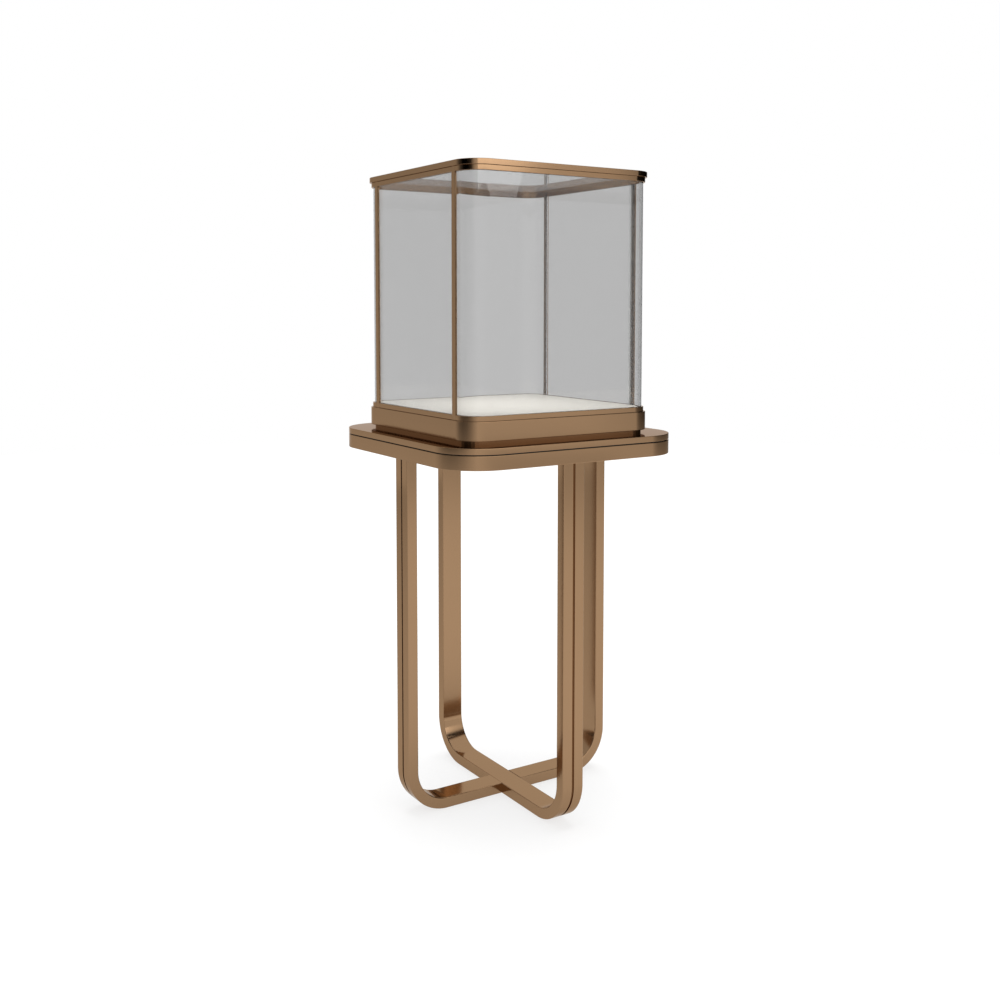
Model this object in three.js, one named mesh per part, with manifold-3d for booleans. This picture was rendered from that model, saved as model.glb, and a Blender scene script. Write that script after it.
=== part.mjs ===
// Pedestal display case: a glazed case on a square table, carried by two crossed U-frames.
// Units are millimetres and +Z is up. The origin is on the floor under the middle of the table.
// -Y is the front. The bent panes close the front and the rear, and flat panes close the two
// sides: the left one is fixed, and the right one is the door.

import * as THREE from 'three';
import { mergeVertices } from 'three/addons/utils/BufferGeometryUtils.js';
import Module from 'manifold-3d';

// ---------------------------------------------------------------- driving dimensions

// Crossed frames: folded tube with a shadow groove along the middle of its outer face. The
// setback is from the table's edge to the outer face of a leg.
const frameSetback = 22.5;
const frameWidth = 50;
const frameDepth = 23;
const frameWall = 2;
const frameBend = 92;
const frameEase = 1.2;
const grooveWidth = 5;
const grooveDepth = 4;
const padHeight = 2;
const padLength = 60;
const padInset = 6;

// Table: a wrapped upper plate and an apron, parted by a shadow gap.
const tableUnderside = 752;
const tableWidth = 550;
const tableCorner = 95;
const apronHeight = 28;
const apronFlange = 22;
const apronHem = 4;
const shadowGap = 2;
const shadowSetback = 4;
const plateHeight = 12;
const sheetWall = 2;
const edgeEase = 1;

// Screws that hold the legs to the table, and the case to the table.
const legPlate = 5;
const legScrewSpacing = 28;
const legScrew = { shank: 5, head: 9.5, headHeight: 4, length: 22 };
const caseScrew = { shank: 5, head: 9.5, headHeight: 3, length: 25 };
const caseScrewInset = 55;

// Case: a recessed plinth, a wrapped box with a ledge, the glazed hood and its cap.
const plinthHeight = 7;
const plinthSetback = 9;
const caseWidth = 455;
const caseCorner = 52;
const boxHeight = 38;
const boxLedge = 34;
const boxLip = 14;
const boxBoard = 10;
const hoodSetback = 4;
const hoodHeight = 485;
const railHeight = 10;
const railDepth = 12;
const railFloor = 4;
const glassSetback = 4;
const glassThickness = 5;
const deckGap = 0.8;
const capHeight = 11;
const capDepth = 18;
const capRebate = 8;
const capFloor = 4.5;
const topGlass = 6;

// Corner posts: a cover strip over the edges of two panes, with a short piece of rail at its
// foot and at its head. They stand on the flat sides, a little before the bend.
const postWidth = 14;
const postBeforeBend = 12;
const paneJoint = 1;

// Door: a flat pane with its stretch of both rails, on two pins.
const doorSideGap = 1.5;
const doorEndGap = 0.8;
const pinDiameter = 3;
const pinFromFace = 4;
const pinFromEdge = 6.5;
const pinHead = { diameter: 8, height: 3 };
const washerHeight = 0.5;
const doorNose = 4;
const sealDepth = 2;
const sealWidth = 8;

// Cam lock in the box, under the free end of the door.
const lockBarrel = 16;
const lockPlug = 11;
const lockFlange = { diameter: 20, height: 1.5 };
const lockNut = { acrossFlats: 18, height: 3 };
const lockFromFreeEdge = 35;
const lockBelowLedge = 14.5;
const camThickness = 2;
const camWidth = 10;
const camScrew = { shank: 4, head: 7, headHeight: 2, length: 7 };
const keyway = { width: 1.6, height: 7, depth: 3 };

// Clearances: between a pin or a pane and what holds it, and where two cut faces lie side by side.
const fit = 0.3;

// Fineness of the round forms.
const cornerSteps = 9;
const bendSteps = 12;
const roundSteps = 12;
const lockSteps = 24;

// ---------------------------------------------------------------- sizes worked out from them

const legTop = tableUnderside;
const gapLevel = tableUnderside + apronHeight;
const plateLevel = gapLevel + shadowGap;
const tableTop = plateLevel + plateHeight;
const boxLevel = tableTop + plinthHeight;
const ledgeLevel = boxLevel + boxHeight;
const capLevel = ledgeLevel + hoodHeight;
const deckTop = ledgeLevel + railHeight;
const tableHalf = tableWidth / 2;
const frameReach = tableHalf - frameSetback;
const caseHalf = caseWidth / 2;
const hoodHalf = caseHalf - hoodSetback;
const hoodCorner = caseCorner - hoodSetback;
const glassFace = hoodHalf - glassSetback;
const postFromMiddle = hoodHalf - hoodCorner - postBeforeBend;
const slotWidth = glassThickness + 2 * fit;
const slotOuter = -glassSetback + fit;
const slotInner = slotOuter - slotWidth;
const postOuterEnd = postFromMiddle + postWidth / 2;
const postInnerEnd = postFromMiddle - postWidth / 2;
const glassLow = ledgeLevel + railFloor + fit;
const glassHigh = capLevel - railFloor - fit;
const doorHalf = postInnerEnd - doorSideGap;
const hingeX = hoodHalf - pinFromFace;
const hingeY = doorHalf - pinFromEdge;
const lockY = -doorHalf + lockFromFreeEdge;
const lockZ = ledgeLevel - lockBelowLedge;
const camPlane = hoodHalf - railDepth / 2 + camThickness / 2;
const camReach = lockBelowLedge + railFloor - fit;

const group = new THREE.Group();

// ---------------------------------------------------------------- finishes

function finish(color, roughness, metalness, opacity = 1) {
  return new THREE.MeshStandardMaterial({
    color, roughness, metalness, opacity, transparent: opacity < 1,
  });
}

const bronze = finish(0x9a7a5c, 0.22, 1);
const darkSteel = finish(0x3a332d, 0.5, 0.8);
const steel = finish(0xa9a9a6, 0.35, 1);
const blackBoard = finish(0x1b1a19, 0.8, 0);
const fibreBoard = finish(0x8f7454, 0.9, 0);
const whiteBoard = finish(0xf1efec, 0.7, 0);
const greyGlass = finish(0xb9bab9, 0.05, 0, 0.45);
const rubber = finish(0x222222, 0.85, 0);
const clearPlastic = finish(0xe4e6e6, 0.25, 0, 0.4);

// ---------------------------------------------------------------- solids and booleans

const wasm = await Module();
wasm.setup();

function toSolid(geometry) {
  const bare = geometry.clone();
  bare.deleteAttribute('normal');
  bare.deleteAttribute('uv');
  const merged = mergeVertices(bare, 1e-4);
  return new wasm.Manifold(new wasm.Mesh({
    numProp: 3,
    vertProperties: new Float32Array(merged.attributes.position.array),
    triVerts: new Uint32Array(merged.index.array),
  }));
}

function toGeometry(solid) {
  const mesh = solid.getMesh();
  const geometry = new THREE.BufferGeometry();
  geometry.setAttribute('position', new THREE.BufferAttribute(mesh.vertProperties, 3));
  geometry.setIndex(new THREE.BufferAttribute(mesh.triVerts, 1));
  geometry.computeVertexNormals();
  return geometry;
}

function cut(geometry, tools) {
  let solid = toSolid(geometry);
  for (const tool of tools) {
    solid = solid.subtract(toSolid(tool));
  }
  return toGeometry(solid);
}

function join(geometry, others) {
  let solid = toSolid(geometry);
  for (const other of others) {
    solid = solid.add(toSolid(other));
  }
  return toGeometry(solid);
}

function addPiece(name, geometry, material) {
  const mesh = new THREE.Mesh(geometry, material);
  mesh.name = name;
  group.add(mesh);
  return mesh;
}

// ---------------------------------------------------------------- outlines, paths and sweeps

// A station is a point of a path and the outward direction there.
function station(at, out) {
  return { at, out };
}

// Stations round an arc in a vertical or level plane spanned by the directions u and v.
function arc(centre, u, v, radius, fromAngle, toAngle, steps) {
  const stations = [];
  for (let i = 0; i <= steps; i += 1) {
    const angle = THREE.MathUtils.degToRad(fromAngle + (toAngle - fromAngle) * i / steps);
    const out = u.clone().multiplyScalar(Math.cos(angle)).addScaledVector(v, Math.sin(angle));
    stations.push(station(centre.clone().addScaledVector(out, radius), out));
  }
  return stations;
}

const alongX = new THREE.Vector3(1, 0, 0);
const alongY = new THREE.Vector3(0, 1, 0);
const upward = new THREE.Vector3(0, 0, 1);

// The corner of a level rounded square whose arc starts at the given angle.
function cornerArc(half, corner, level, fromAngle) {
  const middle = THREE.MathUtils.degToRad(fromAngle + 45);
  const reach = half - corner;
  const centre = new THREE.Vector3(
    reach * Math.sign(Math.cos(middle)), reach * Math.sign(Math.sin(middle)), level);
  return arc(centre, alongX, alongY, corner, fromAngle, fromAngle + 90, cornerSteps);
}

function squareRing(half, corner, level) {
  return [0, 90, 180, 270].flatMap((angle) => cornerArc(half, corner, level, angle));
}

// Half of a ring, open towards the middle: end is -1 for the front half and 1 for the rear half.
// Its legs stop at the distances `left` and `right` from the middle.
function halfRing(half, corner, level, end, left, right = left) {
  const first = end < 0 ? 180 : 0;
  const legEnd = (side, from) => station(
    new THREE.Vector3(side * half, end * from, level), new THREE.Vector3(side, 0, 0));
  const ends = [legEnd(-1, left), legEnd(1, right)];
  const [start, last] = end < 0 ? ends : ends.reverse();
  return [
    start,
    ...cornerArc(half, corner, level, first),
    ...cornerArc(half, corner, level, first + 90),
    last,
  ];
}

// A straight stretch along Y on the side given by sign.
function sideRun(half, level, from, to, sign) {
  const out = new THREE.Vector3(sign, 0, 0);
  return [
    station(new THREE.Vector3(sign * half, sign * from, level), out),
    station(new THREE.Vector3(sign * half, sign * to, level), out),
  ];
}

function turned(loop, clockwise) {
  const points = loop.map(([out, side]) => new THREE.Vector2(out, side));
  return THREE.ShapeUtils.isClockWise(points) === clockwise ? loop : [...loop].reverse();
}

// Sweeps a section along stations. Section points are [outward, sideways] from the path, and
// bore is the outline of a hollow in it.
function sweep(stations, side, section, { bore = null, closed = false } = {}) {
  const loops = [turned(section, false)];
  if (bore) {
    loops.push(turned(bore, true));
  }
  const positions = [];
  for (const { at, out } of stations) {
    for (const [outward, sideways] of loops.flat()) {
      const point = at.clone().addScaledVector(out, outward).addScaledVector(side, sideways);
      positions.push(point.x, point.y, point.z);
    }
  }
  const perStation = loops.flat().length;
  const indices = [];
  const spans = closed ? stations.length : stations.length - 1;
  for (let i = 0; i < spans; i += 1) {
    const here = i * perStation;
    const there = ((i + 1) % stations.length) * perStation;
    let offset = 0;
    for (const loop of loops) {
      for (let k = 0; k < loop.length; k += 1) {
        const a = offset + k;
        const b = offset + (k + 1) % loop.length;
        indices.push(here + a, here + b, there + b, here + a, there + b, there + a);
      }
      offset += loop.length;
    }
  }
  if (!closed) {
    const flat = loops.map((loop) => loop.map(([out, across]) => new THREE.Vector2(out, across)));
    const all = flat.flat();
    const last = (stations.length - 1) * perStation;
    for (const face of THREE.ShapeUtils.triangulateShape(flat[0], flat.slice(1))) {
      const [a, b, c] = THREE.ShapeUtils.area(face.map((index) => all[index])) > 0
        ? face : [face[0], face[2], face[1]];
      indices.push(c, b, a, last + a, last + b, last + c);
    }
  }
  const geometry = new THREE.BufferGeometry();
  geometry.setAttribute('position', new THREE.Float32BufferAttribute(positions, 3));
  geometry.setIndex(indices);
  return facingOut(geometry);
}

// Turns every face over when the mesh is inside out.
function facingOut(geometry) {
  const p = geometry.attributes.position;
  const index = geometry.index.array;
  const [a, b, c] = [new THREE.Vector3(), new THREE.Vector3(), new THREE.Vector3()];
  let volume = 0;
  for (let i = 0; i < index.length; i += 3) {
    a.fromBufferAttribute(p, index[i]);
    b.fromBufferAttribute(p, index[i + 1]);
    c.fromBufferAttribute(p, index[i + 2]);
    volume += a.dot(b.cross(c));
  }
  if (volume < 0) {
    for (let i = 0; i < index.length; i += 3) {
      [index[i], index[i + 2]] = [index[i + 2], index[i]];
    }
  }
  geometry.computeVertexNormals();
  return geometry;
}

function rectangle(outFrom, outTo, sideFrom, sideTo) {
  return [[outFrom, sideFrom], [outTo, sideFrom], [outTo, sideTo], [outFrom, sideTo]];
}

// A level rounded-square board from one height to another, with eased edges where ease is given.
function board(half, corner, from, to, ease = 0) {
  const section = ease > 0
    ? [[0, from + ease], [0, to - ease], [-ease, to], [-ease, from]]
    : [[0, from], [0, to]];
  const stations = squareRing(half, corner, 0);
  const positions = [];
  for (const { at, out } of stations) {
    const rim = ease > 0 ? [section[3], section[0], section[1], section[2]] : section;
    for (const [outward, height] of rim) {
      const point = at.clone().addScaledVector(out, outward);
      positions.push(point.x, point.y, height);
    }
  }
  const rows = ease > 0 ? 4 : 2;
  const count = stations.length;
  const indices = [];
  for (let i = 0; i < count; i += 1) {
    const next = (i + 1) % count;
    for (let k = 0; k < rows - 1; k += 1) {
      const [a, b] = [i * rows + k, next * rows + k];
      indices.push(a, b, b + 1, a, b + 1, a + 1);
    }
  }
  for (let i = 1; i < count - 1; i += 1) {
    indices.push(0, (i + 1) * rows, i * rows);
    indices.push(rows - 1, i * rows + rows - 1, (i + 1) * rows + rows - 1);
  }
  const geometry = new THREE.BufferGeometry();
  geometry.setAttribute('position', new THREE.Float32BufferAttribute(positions, 3));
  geometry.setIndex(indices);
  return facingOut(geometry);
}

function block(minX, maxX, minY, maxY, minZ, maxZ) {
  const geometry = new THREE.BoxGeometry(maxX - minX, maxY - minY, maxZ - minZ);
  geometry.translate((minX + maxX) / 2, (minY + maxY) / 2, (minZ + maxZ) / 2);
  return geometry;
}

// A turned piece on a vertical axis; outline points are [radius, height].
function turnedPiece(outline, x, y, steps = roundSteps) {
  const points = outline.map(([radius, height]) => new THREE.Vector2(radius, height));
  const geometry = new THREE.LatheGeometry(points, steps);
  geometry.rotateX(Math.PI / 2);
  geometry.translate(x, y, 0);
  return closedTurn(geometry);
}

// Joins the seam and the poles of a turned form, and faces it outwards.
function closedTurn(geometry) {
  const bare = geometry.clone();
  bare.deleteAttribute('normal');
  bare.deleteAttribute('uv');
  const merged = mergeVertices(bare, 1e-4);
  const index = merged.index.array;
  const kept = [];
  for (let i = 0; i < index.length; i += 3) {
    const [a, b, c] = [index[i], index[i + 1], index[i + 2]];
    if (a !== b && b !== c && a !== c) {
      kept.push(a, b, c);
    }
  }
  merged.setIndex(kept);
  return facingOut(merged);
}

function rod(diameter, from, to, x, y, steps = roundSteps) {
  const radius = diameter / 2;
  return turnedPiece([[0, from], [radius, from], [radius, to], [0, to]], x, y, steps);
}

// A screw whose head stands on the given level and whose shank goes down from it.
function screw(size, x, y, level) {
  const [shank, head] = [size.shank / 2, size.head / 2];
  const top = level + size.headHeight;
  const end = level - size.length + size.headHeight;
  const point = shank * 0.6;
  return turnedPiece([
    [0, end], [point, end], [shank, end + shank - point], [shank, level], [head, level],
    [head, top - fit], [head - fit, top], [0, top],
  ], x, y);
}

// The hole for a screw: clear of the shank, with a counterbore for its head.
function screwHole(size, x, y, level, bottom) {
  const [shank, head] = [size.shank / 2 + fit, size.head / 2 + fit];
  const over = level + size.headHeight + 5;
  return turnedPiece([
    [0, bottom], [shank, bottom], [shank, level], [head, level], [head, over], [0, over],
  ], x, y);
}

// ---------------------------------------------------------------- crossed frames

const frameHalf = frameWidth / 2;

// The tube's section: [inward from the outer face, across].
function frameSection() {
  const [half, ease, groove] = [frameHalf, frameEase, grooveWidth / 2];
  const right = [
    [-grooveDepth, groove], [0, groove], [0, half - ease], [-ease, half],
    [-frameDepth + ease, half], [-frameDepth, half - ease],
  ];
  const left = right.map(([out, across]) => [out, -across]).reverse();
  return [...right, ...left];
}

function frameBore() {
  const groove = grooveWidth / 2 + frameWall;
  const half = frameHalf - frameWall;
  const right = [
    [-grooveDepth - frameWall, groove], [-frameWall, groove], [-frameWall, half],
    [-frameDepth + frameWall, half],
  ];
  const left = right.map(([out, across]) => [out, -across]).reverse();
  return [...right, ...left];
}

// Path of one leg, from its top round the bend; level is the horizontal direction it points in.
function legPath(level) {
  const down = upward.clone().negate();
  const centre = level.clone().multiplyScalar(frameReach - frameBend);
  centre.z = padHeight + frameBend;
  const top = level.clone().multiplyScalar(frameReach);
  top.z = legTop;
  return [station(top, level.clone()), ...arc(centre, level, down, frameBend, 0, 90, bendSteps)];
}

function buildFrames() {
  const [section, bore] = [frameSection(), frameBore()];
  const front = legPath(alongY.clone().negate());
  const rear = legPath(alongY).reverse();
  addPiece('frame_front_rear', sweep([...front, ...rear], alongX, section, { bore }), bronze);
  for (const [name, sign] of [['frame_left', -1], ['frame_right', 1]]) {
    const leg = legPath(alongX.clone().multiplyScalar(sign));
    const end = station(
      new THREE.Vector3(sign * frameHalf, 0, padHeight), upward.clone().negate());
    addPiece(name, sweep([...leg, end], alongY, section, { bore }), bronze);
  }
}

// The four legs as name and direction.
const legs = [
  ['front', new THREE.Vector3(0, -1, 0)],
  ['rear', new THREE.Vector3(0, 1, 0)],
  ['left', new THREE.Vector3(-1, 0, 0)],
  ['right', new THREE.Vector3(1, 0, 0)],
];

// Middle of the end plate, measured from the leg's outer face.
const plateFrom = grooveDepth + frameWall + fit;
const plateTo = frameDepth - frameWall - fit;
const plateMiddle = frameReach - (plateFrom + plateTo) / 2;

function legScrewPlaces(level) {
  const across = new THREE.Vector3(-level.y, level.x, 0);
  return [-1, 1].map((side) => level.clone().multiplyScalar(plateMiddle)
    .addScaledVector(across, side * legScrewSpacing / 2));
}

function buildLegEnds() {
  const halfAcross = frameHalf - frameWall - fit;
  const halfDeep = (plateTo - plateFrom) / 2;
  const screwLevel = tableUnderside + apronHeight - sheetWall - legScrew.headHeight;
  for (const [name, level] of legs) {
    const centre = level.clone().multiplyScalar(plateMiddle);
    const deep = level.clone().multiplyScalar(halfDeep);
    const sizeX = Math.abs(deep.x) + Math.abs(level.y) * halfAcross;
    const sizeY = Math.abs(deep.y) + Math.abs(level.x) * halfAcross;
    const plate = block(
      centre.x - sizeX, centre.x + sizeX, centre.y - sizeY, centre.y + sizeY,
      legTop - legPlate, legTop);
    const holes = legScrewPlaces(level).map((place) => rod(
      legScrew.shank + 2 * fit, legTop - 2 * legPlate, legTop + legPlate, place.x, place.y));
    addPiece(`leg_plate_${name}`, cut(plate, holes), steel);
    legScrewPlaces(level).forEach((place, number) => {
      addPiece(`leg_screw_${name}_${number + 1}`,
        screw(legScrew, place.x, place.y, screwLevel), steel);
    });
    const padMiddle = level.clone().multiplyScalar(frameReach - frameBend - padLength / 2);
    const padAcross = frameHalf - padInset;
    const padX = Math.abs(level.x) * padLength / 2 + Math.abs(level.y) * padAcross;
    const padY = Math.abs(level.y) * padLength / 2 + Math.abs(level.x) * padAcross;
    addPiece(`floor_pad_${name}`, block(
      padMiddle.x - padX, padMiddle.x + padX, padMiddle.y - padY, padMiddle.y + padY,
      0, padHeight), rubber);
  }
  return screwLevel;
}

// ---------------------------------------------------------------- table

const caseScrewPlaces = [[-1, -1], [1, -1], [1, 1], [-1, 1]].map(([x, y]) => [
  x * (caseHalf - caseScrewInset), y * (caseHalf - caseScrewInset),
]);

function buildTable(legScrewLevel) {
  const ring = squareRing(tableHalf, tableCorner, 0);
  const apronTop = gapLevel;
  const wall = sheetWall;
  const ease = edgeEase;
  const apron = [
    [0, tableUnderside + ease], [0, apronTop - ease], [-ease, apronTop],
    [-apronFlange, apronTop], [-apronFlange, apronTop - wall], [-wall, apronTop - wall],
    [-wall, tableUnderside + wall], [-apronHem, tableUnderside + wall],
    [-apronHem, tableUnderside], [-ease, tableUnderside],
  ];
  addPiece('table_apron', sweep(ring, upward, apron, { closed: true }), bronze);

  const coreSetback = apronHem + fit;
  const core = board(
    tableHalf - coreSetback, tableCorner - coreSetback, tableUnderside, apronTop - wall);
  const holes = legs.flatMap(([, level]) => legScrewPlaces(level)).map((place) => screwHole(
    legScrew, place.x, place.y, legScrewLevel, tableUnderside - legPlate));
  addPiece('table_core', cut(core, holes), fibreBoard);

  addPiece('table_spacer', board(
    tableHalf - shadowSetback, tableCorner - shadowSetback, gapLevel, plateLevel), blackBoard);

  const boardSetback = wall + fit;
  const skin = board(tableHalf, tableCorner, plateLevel, tableTop, ease);
  const inside = board(
    tableHalf - wall, tableCorner - wall, plateLevel - plateHeight, tableTop - wall);
  const skinHoles = caseScrewPlaces.map(([x, y]) => rod(
    caseScrew.shank + 2 * fit, tableTop - 2 * wall, tableTop + wall, x, y));
  addPiece('table_plate_skin', cut(skin, [inside, ...skinHoles]), bronze);

  const boardHoles = caseScrewPlaces.map(([x, y]) => rod(
    caseScrew.shank + 2 * fit, caseScrewLevel - caseScrew.length + caseScrew.headHeight - 1,
    tableTop, x, y));
  addPiece('table_plate_board', cut(board(
    tableHalf - boardSetback, tableCorner - boardSetback, plateLevel, tableTop - wall),
  boardHoles), fibreBoard);
}

// ---------------------------------------------------------------- case box, plinth and deck

const boxBoardLevel = boxLevel + sheetWall;
const caseScrewLevel = boxBoardLevel + boxBoard - caseScrew.headHeight;
const camCorner = Math.hypot(camReach, camWidth / 2);

// The slot that the cam needs where it rises through a sheet whose underside is at the level.
function camSlot(level, top) {
  const rise = level - lockZ;
  const ahead = Math.sqrt(Math.max(camCorner ** 2 - rise ** 2, 0));
  return block(
    camPlane - camThickness - fit, camPlane + fit,
    lockY - camWidth / 2 - 2 * fit, lockY + Math.max(ahead, camWidth / 2) + 2 * fit,
    level - 1, top);
}

function buildBox() {
  const bandHalf = caseHalf - plinthSetback;
  const bandCorner = caseCorner - plinthSetback;
  addPiece('plinth_band', sweep(
    squareRing(bandHalf, bandCorner, 0), upward,
    rectangle(-sheetWall, 0, tableTop, boxLevel), { closed: true }), bronze);
  const plinth = board(
    bandHalf - sheetWall - fit, bandCorner - sheetWall - fit, tableTop, boxLevel);
  const through = (low, high) => caseScrewPlaces.map(([x, y]) => rod(
    caseScrew.shank + 2 * fit, low, high, x, y));
  addPiece('plinth', cut(plinth, through(tableTop - 1, boxLevel + 1)), blackBoard);

  const [wall, ease] = [sheetWall, edgeEase];
  const shell = sweep(squareRing(caseHalf, caseCorner, 0), upward, [
    [0, boxLevel + ease], [0, ledgeLevel - ease], [-ease, ledgeLevel], [-boxLedge, ledgeLevel],
    [-boxLedge, ledgeLevel - wall], [-wall, ledgeLevel - wall], [-wall, boxLevel + wall],
    [-boxLip, boxLevel + wall], [-boxLip, boxLevel], [-ease, boxLevel],
  ], { closed: true });
  const barrelHole = rodAlongX(lockBarrel + 2 * fit, caseHalf - 3 * wall, caseHalf + wall);
  const pinHole = rod(
    pinDiameter + 2 * fit, ledgeLevel - 2 * wall, ledgeLevel + wall, hingeX, hingeY);
  addPiece('box_shell', cut(shell, [
    barrelHole, pinHole, camSlot(ledgeLevel - wall, ledgeLevel + 1),
  ]), bronze);

  const baseSetback = wall + fit;
  const base = board(
    caseHalf - baseSetback, caseCorner - baseSetback, boxBoardLevel, boxBoardLevel + boxBoard);
  addPiece('box_base_board', cut(base, caseScrewPlaces.map(([x, y]) => screwHole(
    caseScrew, x, y, caseScrewLevel, boxLevel - 1))), fibreBoard);
  caseScrewPlaces.forEach(([x, y], number) => {
    addPiece(`case_screw_${number + 1}`, screw(caseScrew, x, y, caseScrewLevel), steel);
  });

  const deckSetback = hoodSetback + railDepth + deckGap;
  addPiece('deck_board', board(
    caseHalf - deckSetback, caseCorner - deckSetback, ledgeLevel, deckTop, edgeEase / 2),
  whiteBoard);
}

// A rod along X on the lock's axis.
function rodAlongX(diameter, from, to, steps = lockSteps) {
  const geometry = rod(diameter, from, to, 0, 0, steps);
  geometry.rotateY(Math.PI / 2);
  geometry.translate(0, lockY, lockZ);
  return geometry;
}

// ---------------------------------------------------------------- hood rails

// A glazing channel: floor on the ledge or under the cap, with its slot open to the glass.
// turnedOver gives the upper channel. Heights run from the path's level.
function railSection(height, turnedOver = false) {
  const points = [
    [0, edgeEase / 2], [0, height - edgeEase / 2], [-edgeEase / 2, height], [slotOuter, height],
    [slotOuter, railFloor - (railHeight - height)], [slotInner, railFloor - (railHeight - height)],
    [slotInner, height], [-railDepth, height], [-railDepth, 0], [-edgeEase / 2, 0],
  ];
  return turnedOver ? points.map(([out, rise]) => [out, height - rise]) : points;
}

const upperRailLevel = capLevel - railHeight;

function buildRails() {
  const from = postOuterEnd + fit;
  const to = postInnerEnd - fit;
  for (const [name, level, over] of [
    ['bottom_rail', ledgeLevel, false], ['top_rail', upperRailLevel, true],
  ]) {
    const section = railSection(railHeight, over);
    for (const [end, sign] of [['front', -1], ['rear', 1]]) {
      addPiece(`${name}_${end}`, sweep(
        halfRing(hoodHalf, hoodCorner, level, sign, from), upward, section), bronze);
    }
    addPiece(`${name}_left`, sweep(
      sideRun(hoodHalf, level, -to, to, -1), upward, section), bronze);
  }
}

// ---------------------------------------------------------------- posts

function buildPosts() {
  const [half, ease, back] = [postWidth / 2, edgeEase / 2, -glassSetback + fit];
  const strip = [
    [0, -half + ease], [0, half - ease], [-ease, half], [back, half], [back, -half],
    [-ease, -half],
  ];
  for (const [end, endSign] of [['front', -1], ['rear', 1]]) {
    for (const [side, sideSign] of [['left', -1], ['right', 1]]) {
      const shape = new THREE.Shape(strip.map(([out, along]) => new THREE.Vector2(
        sideSign * (hoodHalf + out), endSign * postFromMiddle + along)));
      const cover = new THREE.ExtrudeGeometry(
        shape, { depth: hoodHeight, bevelEnabled: false });
      cover.translate(0, 0, ledgeLevel);
      const middle = endSign * sideSign * postFromMiddle;
      const ends = [[ledgeLevel, false], [upperRailLevel, true]].map(([level, over]) => sweep(
        sideRun(hoodHalf, level, middle - half, middle + half, sideSign), upward,
        railSection(railHeight, over)));
      addPiece(`post_${end}_${side}`, join(closedTurn(cover), ends), bronze);
    }
  }
}

// ---------------------------------------------------------------- glass

function paneSection(low, high) {
  return rectangle(-glassThickness, 0, low, high);
}

function buildGlass() {
  const glassCorner = hoodCorner - glassSetback;
  const leftEdge = postFromMiddle + paneJoint / 2;
  const doorEdge = postInnerEnd + fit;
  const section = paneSection(glassLow, glassHigh);
  for (const [end, sign] of [['front', -1], ['rear', 1]]) {
    addPiece(`glass_${end}`, sweep(
      halfRing(glassFace, glassCorner, 0, sign, leftEdge, doorEdge), upward, section), greyGlass);
  }
  const sideEdge = postFromMiddle - paneJoint / 2;
  addPiece('glass_left', sweep(
    sideRun(glassFace, 0, -sideEdge, sideEdge, -1), upward, section), greyGlass);
}

// ---------------------------------------------------------------- cap

function buildCap() {
  const ease = edgeEase;
  const [floor, roof] = [capLevel, capLevel + capHeight];
  const frame = sweep(squareRing(caseHalf, caseCorner, 0), upward, [
    [0, floor + ease], [0, roof - ease], [-ease, roof], [-capRebate, roof],
    [-capRebate, floor + capFloor], [-capDepth, floor + capFloor], [-capDepth, floor],
    [-ease, floor],
  ], { closed: true });
  const pinHole = rod(
    pinDiameter + 2 * fit, floor - 1, floor + capFloor - fit, hingeX, hingeY);
  addPiece('cap_frame', cut(frame, [pinHole]), bronze);
  const glassSetIn = capRebate + fit;
  addPiece('glass_top', board(
    caseHalf - glassSetIn, caseCorner - glassSetIn, floor + capFloor,
    floor + capFloor + topGlass, edgeEase / 2), greyGlass);
}

// ---------------------------------------------------------------- door

// A piece of rail for the door: shorter than a fixed one by the end gap, with its inner corner
// taken off at the hinge so that it turns clear of the deck.
function doorRail(level, over) {
  const height = railHeight - doorEndGap;
  const run = sweep(sideRun(hoodHalf, level, -doorHalf, doorHalf, 1), upward,
    railSection(height, over));
  const inner = hoodHalf - railDepth;
  const nose = new THREE.ExtrudeGeometry(new THREE.Shape([
    new THREE.Vector2(inner - 1, doorHalf - doorNose - 1),
    new THREE.Vector2(inner + doorNose + 1, doorHalf + 1),
    new THREE.Vector2(inner - 1, doorHalf + 1),
  ]), { depth: 2 * railHeight, bevelEnabled: false });
  nose.translate(0, 0, level - railHeight / 2);
  const hole = rod(
    pinDiameter + 2 * fit, level - 1, level + height + 1, hingeX, hingeY);
  return { run, tools: [nose, hole] };
}

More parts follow.
